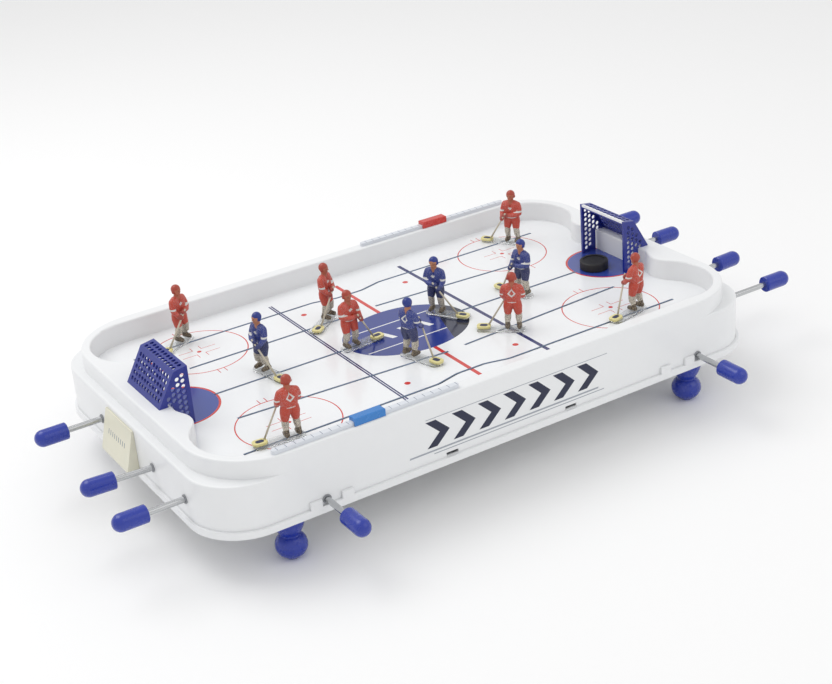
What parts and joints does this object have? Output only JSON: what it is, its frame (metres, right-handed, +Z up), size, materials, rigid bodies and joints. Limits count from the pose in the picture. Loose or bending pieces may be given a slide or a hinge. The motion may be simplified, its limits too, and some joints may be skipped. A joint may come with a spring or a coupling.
{
  "type": "rod ice hockey game",
  "caption": "Table-top ice-hockey game: white rim and slotted rink on turned legs, net goals, and standing players worked by spinning rods with round grips, six of which also slide.",
  "frame": {"origin": "on the floor, midway between the outer ends of the grips as stored; the middle of the rink is 21 mm towards -X from it", "axes": "+X along the rink towards the end with four rods, +Y across it, +Z up"},
  "size_m": [1.07, 0.688, 0.2136],
  "materials": {
    "shell_white": "satin",
    "ice_white": "gloss",
    "blue_plastic": "gloss",
    "red_plastic": "gloss",
    "net_blue": "gloss",
    "steel": "satin",
    "bush_grey": "satin",
    "rail_grey": "satin",
    "cream": "satin",
    "gear_grey": "satin",
    "rubber_black": "matte",
    "player_red": "satin",
    "player_blue": "satin"
  },
  "bodies": {
    "root": {"upper_shell": "shell_white", "ice_sheet": "ice_white", "base_tray": "shell_white", "tray_screws": "steel", "leg_left_near": "blue_plastic", "leg_left_far": "blue_plastic", "leg_right_near": "blue_plastic", "leg_right_far": "blue_plastic", "rod_bushings": "bush_grey", "goal_left": "net_blue", "goal_right": "net_blue", "chute_covers": "cream", "score_rail_near": "rail_grey", "score_rail_far": "rail_grey", "bearing_blocks": "gear_grey"},
    "score_slider_near": {"score_slider_near": "blue_plastic"},
    "score_slider_far": {"score_slider_far": "red_plastic"},
    "puck": {"puck": "rubber_black"},
    "carriage_left_near_wing": {"carriage_left_near_wing": "gear_grey"},
    "rod_left_near_wing": {"rod_left_near_wing": "steel", "grip_left_near_wing": "blue_plastic"},
    "player_left_near_wing": {"player_left_near_wing": "player_red"},
    "carriage_left_near_inner": {"carriage_left_near_inner": "gear_grey"},
    "rod_left_near_inner": {"rod_left_near_inner": "steel", "grip_left_near_inner": "blue_plastic"},
    "player_left_near_inner": {"player_left_near_inner": "player_blue"},
    "carriage_left_far_inner": {"carriage_left_far_inner": "gear_grey"},
    "rod_left_far_inner": {"rod_left_far_inner": "steel", "grip_left_far_inner": "blue_plastic"},
    "player_left_far_inner": {"player_left_far_inner": "player_red"},
    "carriage_right_near_wing": {"carriage_right_near_wing": "gear_grey"},
    "rod_right_near_wing": {"rod_right_near_wing": "steel", "grip_right_near_wing": "blue_plastic"},
    "player_right_near_wing": {"player_right_near_wing": "player_red"},
    "carriage_right_near_inner": {"carriage_right_near_inner": "gear_grey"},
    "rod_right_near_inner": {"rod_right_near_inner": "steel", "grip_right_near_inner": "blue_plastic"},
    "player_right_near_inner": {"player_right_near_inner": "player_red"},
    "carriage_right_far_wing": {"carriage_right_far_wing": "gear_grey"},
    "rod_right_far_wing": {"rod_right_far_wing": "steel", "grip_right_far_wing": "blue_plastic"},
    "player_right_far_wing": {"player_right_far_wing": "player_red"},
    "rod_left_far_wing": {"rod_left_far_wing": "steel", "grip_left_far_wing": "blue_plastic"},
    "player_left_far_wing": {"player_left_far_wing": "player_red"},
    "rod_left_centre": {"rod_left_centre": "steel", "grip_left_centre": "blue_plastic"},
    "player_left_centre": {"player_left_centre": "player_blue"},
    "cross_shaft_left_centre": {"cross_shaft_left_centre": "steel"},
    "rod_middle_centre": {"rod_middle_centre": "steel", "grip_middle_centre": "blue_plastic"},
    "player_middle_centre": {"player_middle_centre": "player_red"},
    "rod_right_centre": {"rod_right_centre": "steel", "grip_right_centre": "blue_plastic"},
    "player_right_centre": {"player_right_centre": "player_blue"},
    "cross_shaft_right_centre": {"cross_shaft_right_centre": "steel"},
    "rod_right_far_inner": {"rod_right_far_inner": "steel", "grip_right_far_inner": "blue_plastic"},
    "player_right_far_inner": {"player_right_far_inner": "player_blue"},
    "cross_shaft_right_far_inner": {"cross_shaft_right_far_inner": "steel"}
  },
  "joints": [
    {"name": "score_slider_near_slide", "type": "slide", "parent": "root", "child": "score_slider_near", "axis": [1, 0, 0], "range_m": [-0.108, 0.108]},
    {"name": "score_slider_far_slide", "type": "slide", "parent": "root", "child": "score_slider_far", "axis": [1, 0, 0], "range_m": [-0.108, 0.108]},
    {"name": "puck_slide", "type": "slide", "parent": "root", "child": "puck", "axis": [-1, 0, 0], "range_m": [-0.02, 0.06]},
    {"name": "left_near_wing_slide", "type": "slide", "parent": "root", "child": "carriage_left_near_wing", "axis": [-1, 0, 0], "range_m": [-0.048, 0.045]},
    {"name": "left_near_wing_rod_spin", "type": "hinge", "parent": "carriage_left_near_wing", "child": "rod_left_near_wing", "pos_m": [-0.309, -0.1685, 0.096], "axis": [-1, 0, 0], "continuous": true},
    {"name": "left_near_wing_player_spin", "type": "hinge", "parent": "carriage_left_near_wing", "child": "player_left_near_wing", "pos_m": [-0.309, -0.1685, 0.126], "axis": [0, 0, 1], "continuous": true},
    {"name": "left_near_inner_slide", "type": "slide", "parent": "root", "child": "carriage_left_near_inner", "axis": [-0.9984, 0.057, 0], "range_m": [-0.038, 0.262]},
    {"name": "left_near_inner_rod_spin", "type": "hinge", "parent": "carriage_left_near_inner", "child": "rod_left_near_inner", "pos_m": [-0.057, -0.09494, 0.096], "axis": [-0.9984, 0.057, 0], "continuous": true},
    {"name": "left_near_inner_player_spin", "type": "hinge", "parent": "carriage_left_near_inner", "child": "player_left_near_inner", "pos_m": [-0.057, -0.09494, 0.126], "axis": [0, 0, 1], "continuous": true},
    {"name": "left_far_inner_slide", "type": "slide", "parent": "root", "child": "carriage_left_far_inner", "axis": [-1, 0, 0], "range_m": [-0.025, 0.204]},
    {"name": "left_far_inner_rod_spin", "type": "hinge", "parent": "carriage_left_far_inner", "child": "rod_left_far_inner", "pos_m": [-0.101, 0.092, 0.096], "axis": [-1, 0, 0], "continuous": true},
    {"name": "left_far_inner_player_spin", "type": "hinge", "parent": "carriage_left_far_inner", "child": "player_left_far_inner", "pos_m": [-0.101, 0.092, 0.126], "axis": [0, 0, 1], "continuous": true},
    {"name": "right_near_wing_slide", "type": "slide", "parent": "root", "child": "carriage_right_near_wing", "axis": [1, 0, 0], "range_m": [-0.088, 0.075]},
    {"name": "right_near_wing_rod_spin", "type": "hinge", "parent": "carriage_right_near_wing", "child": "rod_right_near_wing", "pos_m": [0.237, -0.1685, 0.096], "axis": [1, 0, 0], "continuous": true},
    {"name": "right_near_wing_player_spin", "type": "hinge", "parent": "carriage_right_near_wing", "child": "player_right_near_wing", "pos_m": [0.237, -0.1685, 0.126], "axis": [0, 0, 1], "continuous": true},
    {"name": "right_near_inner_slide", "type": "slide", "parent": "root", "child": "carriage_right_near_inner", "axis": [0.9984, 0.057, 0], "range_m": [-0.022, 0.203]},
    {"name": "right_near_inner_rod_spin", "type": "hinge", "parent": "carriage_right_near_inner", "child": "rod_right_near_inner", "pos_m": [0.077, -0.0914, 0.096], "axis": [0.9984, 0.057, 0], "continuous": true},
    {"name": "right_near_inner_player_spin", "type": "hinge", "parent": "carriage_right_near_inner", "child": "player_right_near_inner", "pos_m": [0.077, -0.0914, 0.126], "axis": [0, 0, 1], "continuous": true},
    {"name": "right_far_wing_slide", "type": "slide", "parent": "root", "child": "carriage_right_far_wing", "axis": [1, 0, 0], "range_m": [-0.088, 0.05]},
    {"name": "right_far_wing_rod_spin", "type": "hinge", "parent": "carriage_right_far_wing", "child": "rod_right_far_wing", "pos_m": [0.263, 0.1685, 0.096], "axis": [1, 0, 0], "continuous": true},
    {"name": "right_far_wing_player_spin", "type": "hinge", "parent": "carriage_right_far_wing", "child": "player_right_far_wing", "pos_m": [0.263, 0.1685, 0.126], "axis": [0, 0, 1], "continuous": true},
    {"name": "left_far_wing_rod_spin", "type": "hinge", "parent": "root", "child": "rod_left_far_wing", "pos_m": [-0.295, 0.1685, 0.078], "axis": [0, 1, 0], "continuous": true},
    {"name": "left_far_wing_player_spin", "type": "hinge", "parent": "root", "child": "player_left_far_wing", "pos_m": [-0.295, 0.1685, 0.126], "axis": [0, 0, 1], "continuous": true},
    {"name": "left_centre_rod_spin", "type": "hinge", "parent": "root", "child": "rod_left_centre", "pos_m": [-0.295, 0, 0.078], "axis": [0, -1, 0], "continuous": true},
    {"name": "left_centre_player_spin", "type": "hinge", "parent": "root", "child": "player_left_centre", "pos_m": [-0.233, 0, 0.126], "axis": [0, 0, 1], "continuous": true},
    {"name": "left_centre_shaft_spin", "type": "hinge", "parent": "root", "child": "cross_shaft_left_centre", "pos_m": [-0.233, 0, 0.078], "axis": [1, 0, 0], "continuous": true},
    {"name": "middle_centre_rod_spin", "type": "hinge", "parent": "root", "child": "rod_middle_centre", "pos_m": [-0.093, 0, 0.078], "axis": [0, 1, 0], "continuous": true},
    {"name": "middle_centre_player_spin", "type": "hinge", "parent": "root", "child": "player_middle_centre", "pos_m": [-0.093, 0, 0.126], "axis": [0, 0, 1], "continuous": true},
    {"name": "right_centre_rod_spin", "type": "hinge", "parent": "root", "child": "rod_right_centre", "pos_m": [0.289, 0, 0.078], "axis": [0, -1, 0], "continuous": true},
    {"name": "right_centre_player_spin", "type": "hinge", "parent": "root", "child": "player_right_centre", "pos_m": [0.164, 0, 0.126], "axis": [0, 0, 1], "continuous": true},
    {"name": "right_centre_shaft_spin", "type": "hinge", "parent": "root", "child": "cross_shaft_right_centre", "pos_m": [0.164, 0, 0.078], "axis": [-1, 0, 0], "continuous": true},
    {"name": "right_far_inner_rod_spin", "type": "hinge", "parent": "root", "child": "rod_right_far_inner", "pos_m": [0.049, 0.073, 0.096], "axis": [1, 0, 0], "continuous": true},
    {"name": "right_far_inner_player_spin", "type": "hinge", "parent": "root", "child": "player_right_far_inner", "pos_m": [0.049, 0, 0.126], "axis": [0, 0, 1], "continuous": true},
    {"name": "right_far_inner_shaft_spin", "type": "hinge", "parent": "root", "child": "cross_shaft_right_far_inner", "pos_m": [0.049, 0, 0.096], "axis": [0, -1, 0], "continuous": true}
  ],
  "couplings": [
    {"joint": "left_near_wing_player_spin", "follows": "left_near_wing_rod_spin", "ratio": -1},
    {"joint": "left_near_inner_player_spin", "follows": "left_near_inner_rod_spin", "ratio": -1},
    {"joint": "left_far_inner_player_spin", "follows": "left_far_inner_rod_spin", "ratio": -1},
    {"joint": "right_near_wing_player_spin", "follows": "right_near_wing_rod_spin", "ratio": -1},
    {"joint": "right_near_inner_player_spin", "follows": "right_near_inner_rod_spin", "ratio": -1},
    {"joint": "right_far_wing_player_spin", "follows": "right_far_wing_rod_spin", "ratio": -1},
    {"joint": "left_far_wing_player_spin", "follows": "left_far_wing_rod_spin", "ratio": -1},
    {"joint": "left_centre_player_spin", "follows": "left_centre_rod_spin", "ratio": -1},
    {"joint": "left_centre_shaft_spin", "follows": "left_centre_rod_spin", "ratio": -1},
    {"joint": "middle_centre_player_spin", "follows": "middle_centre_rod_spin", "ratio": -1},
    {"joint": "right_centre_player_spin", "follows": "right_centre_rod_spin", "ratio": -1},
    {"joint": "right_centre_shaft_spin", "follows": "right_centre_rod_spin", "ratio": -1},
    {"joint": "right_far_inner_player_spin", "follows": "right_far_inner_rod_spin", "ratio": -1},
    {"joint": "right_far_inner_shaft_spin", "follows": "right_far_inner_rod_spin", "ratio": -1}
  ]
}
